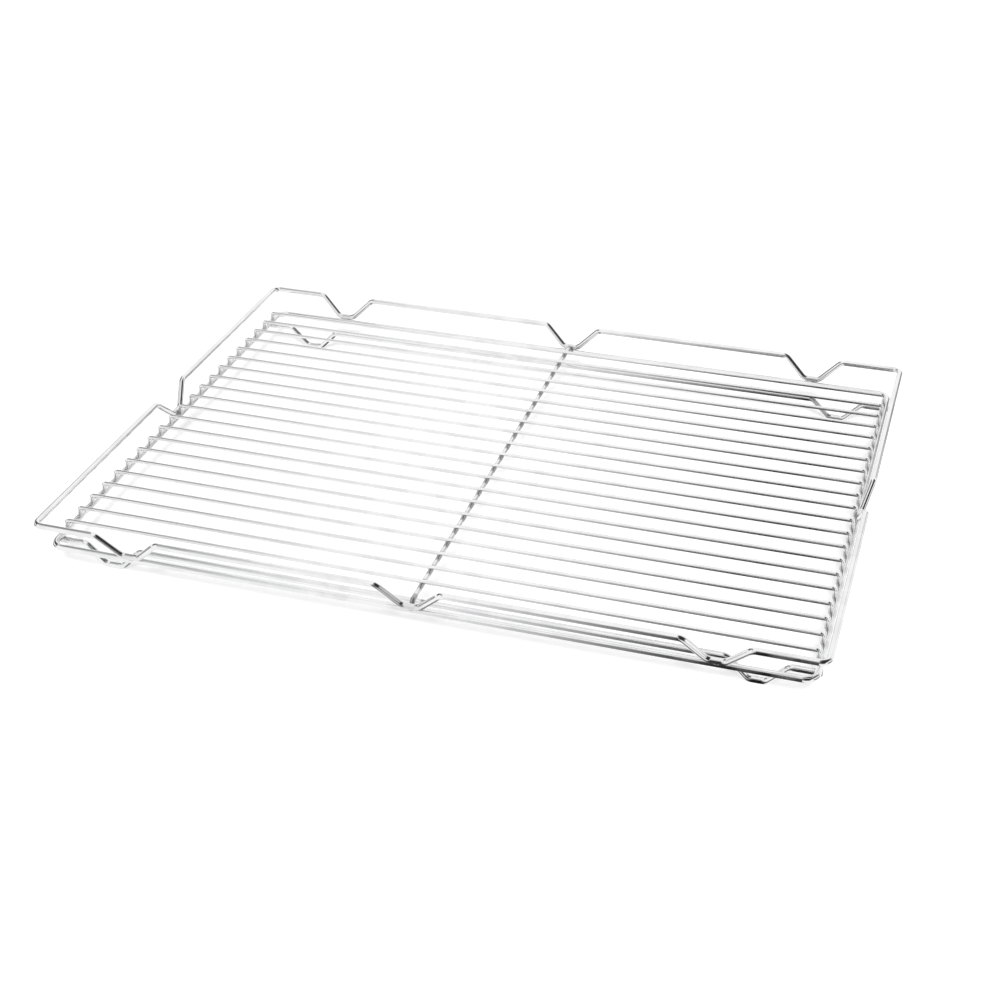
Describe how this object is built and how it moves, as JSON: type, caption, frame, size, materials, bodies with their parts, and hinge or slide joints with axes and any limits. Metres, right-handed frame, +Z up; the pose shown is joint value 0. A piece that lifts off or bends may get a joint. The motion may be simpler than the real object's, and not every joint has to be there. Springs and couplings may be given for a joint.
{
  "type": "wire rack",
  "caption": "Welded steel wire rack for a fryer: parallel grid wires on a frame, a raised rim bent down into dips, and bent wire feet.",
  "frame": {"origin": "on the ground under the middle of the rack, the bottom centre of its bounding box", "axes": "+X along the grid wires, the long way; +Y from the front foot wire to the back one; +Z up"},
  "size_m": [0.388, 0.2956, 0.0303],
  "materials": {
    "heavy_wire": "bright polished",
    "thin_wire": "bright polished"
  },
  "bodies": {
    "root": {"rim_wire": "heavy_wire", "grid_frame": "heavy_wire", "foot_wire_front": "heavy_wire", "foot_wire_back": "heavy_wire", "cross_wire": "thin_wire", "grid_wire_01": "thin_wire", "grid_wire_02": "thin_wire", "grid_wire_03": "thin_wire", "grid_wire_04": "thin_wire", "grid_wire_05": "thin_wire", "grid_wire_06": "thin_wire", "grid_wire_07": "thin_wire", "grid_wire_08": "thin_wire", "grid_wire_09": "thin_wire", "grid_wire_10": "thin_wire", "grid_wire_11": "thin_wire", "grid_wire_12": "thin_wire", "grid_wire_13": "thin_wire", "grid_wire_14": "thin_wire", "grid_wire_15": "thin_wire", "grid_wire_16": "thin_wire", "grid_wire_17": "thin_wire", "grid_wire_18": "thin_wire", "grid_wire_19": "thin_wire", "grid_wire_20": "thin_wire", "grid_wire_21": "thin_wire"}
  },
  "joints": []
}
